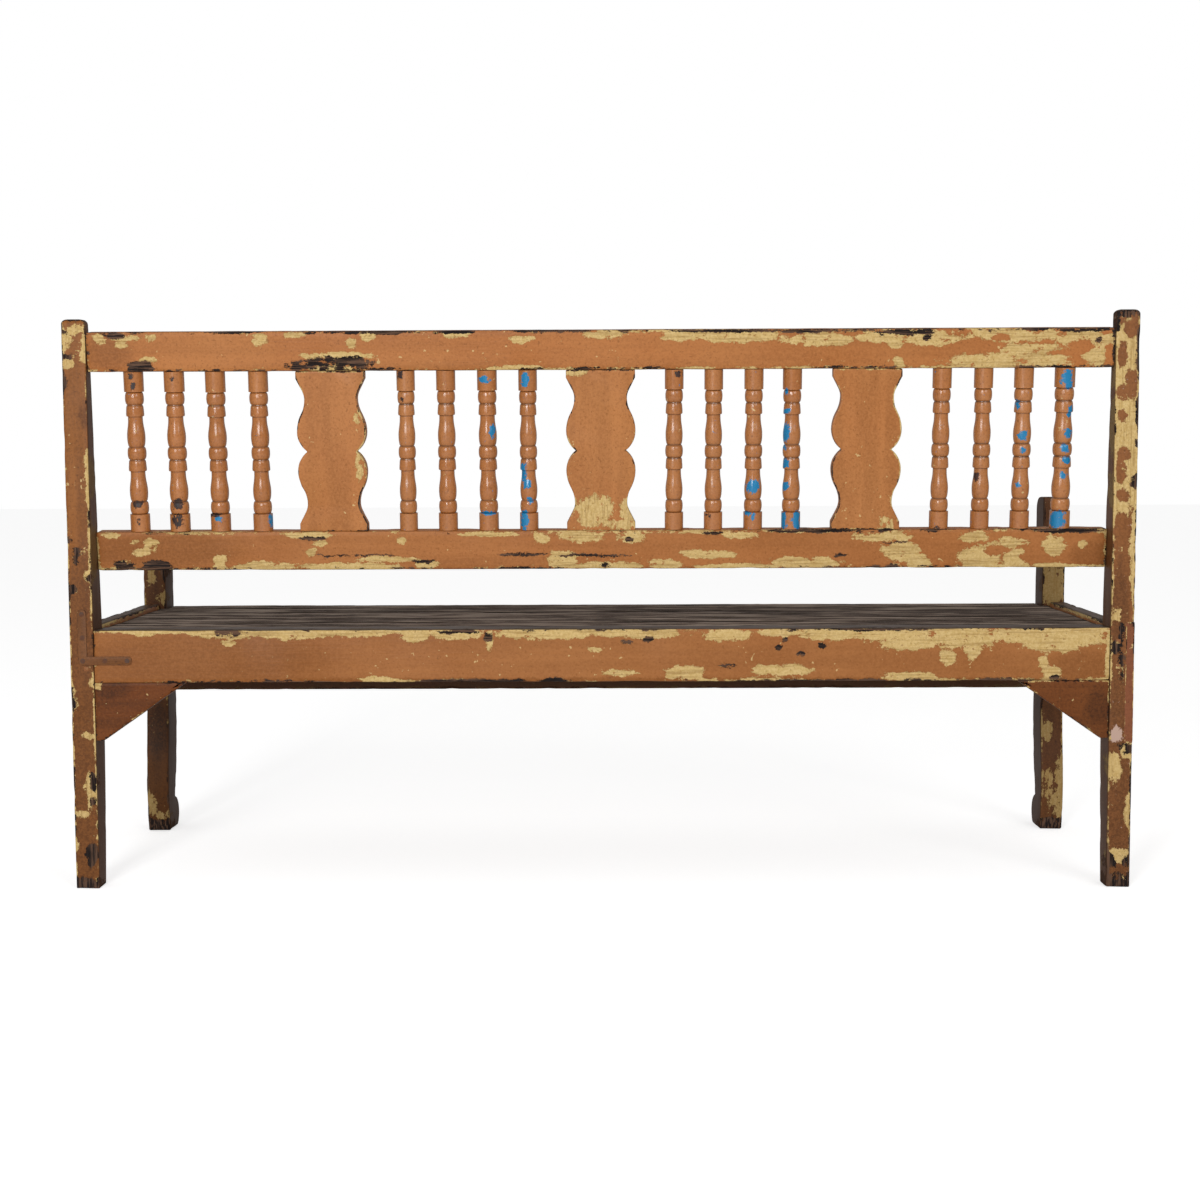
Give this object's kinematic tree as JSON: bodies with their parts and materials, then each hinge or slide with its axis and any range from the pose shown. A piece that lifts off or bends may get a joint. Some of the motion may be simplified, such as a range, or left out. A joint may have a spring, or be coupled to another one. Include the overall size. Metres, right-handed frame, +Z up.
{
  "type": "deacons bench",
  "caption": "Long wooden bench with a slatted seat and a raked back of turned spindles and wavy-edged flat splats, in worn painted wood.",
  "frame": {"origin": "middle of the bench's footprint, on the floor", "axes": "+X along the bench, to the right when seen from behind; +Y from the back towards the sitter's side; +Z up"},
  "size_m": [1.83, 0.5684, 0.992],
  "materials": {
    "paint_posts": "flaking terracotta paint over ochre, satin",
    "paint_rails": "flaking terracotta paint over ochre, satin",
    "paint_sides": "worn terracotta paint, satin",
    "paint_front_legs": "dark brown worn paint over ochre, dusty",
    "paint_brackets": "dark reddish-brown paint, satin",
    "paint_turnings": "gloss terracotta paint with blue and dark chips",
    "paint_splats": "gloss terracotta paint over ochre",
    "repair_wood": "stained bare wood, matt",
    "worn_seat_wood": "grey-brown weathered boards, matt",
    "raw_wood": "unpainted sawn wood, matt",
    "painted_iron": "painted over with the post, satin",
    "nail_iron": "rusted iron, matt"
  },
  "bodies": {
    "root": {"rear_leg_left": "paint_posts", "rear_leg_right": "paint_posts", "top_rail": "paint_rails", "lower_back_rail": "paint_rails", "rear_seat_rail": "paint_rails", "joint_pegs": "paint_rails", "side_seat_rail_left": "paint_sides", "side_seat_rail_right": "paint_sides", "front_seat_rail": "paint_sides", "front_leg_left": "paint_front_legs", "front_leg_right": "paint_front_legs", "bracket_left": "paint_brackets", "bracket_right": "paint_brackets", "spindle_01": "paint_turnings", "spindle_02": "paint_turnings", "spindle_03": "paint_turnings", "spindle_04": "paint_turnings", "spindle_05": "paint_turnings", "spindle_06": "paint_turnings", "spindle_07": "paint_turnings", "spindle_08": "paint_turnings", "spindle_09": "paint_turnings", "spindle_10": "paint_turnings", "spindle_11": "paint_turnings", "spindle_12": "paint_turnings", "spindle_13": "paint_turnings", "spindle_14": "paint_turnings", "spindle_15": "paint_turnings", "spindle_16": "paint_turnings", "splat_left": "paint_splats", "splat_centre": "paint_splats", "splat_right": "paint_splats", "leg_repair_splice": "repair_wood", "seat_slat_1": "worn_seat_wood", "seat_slat_2": "worn_seat_wood", "seat_slat_3": "worn_seat_wood", "seat_slat_4": "worn_seat_wood", "seat_slat_5": "worn_seat_wood", "slat_cleat_left": "raw_wood", "slat_cleat_right": "raw_wood", "cross_bearer_left": "raw_wood", "cross_bearer_centre": "raw_wood", "cross_bearer_right": "raw_wood", "corner_iron": "painted_iron", "bracket_nails": "nail_iron"}
  },
  "joints": []
}
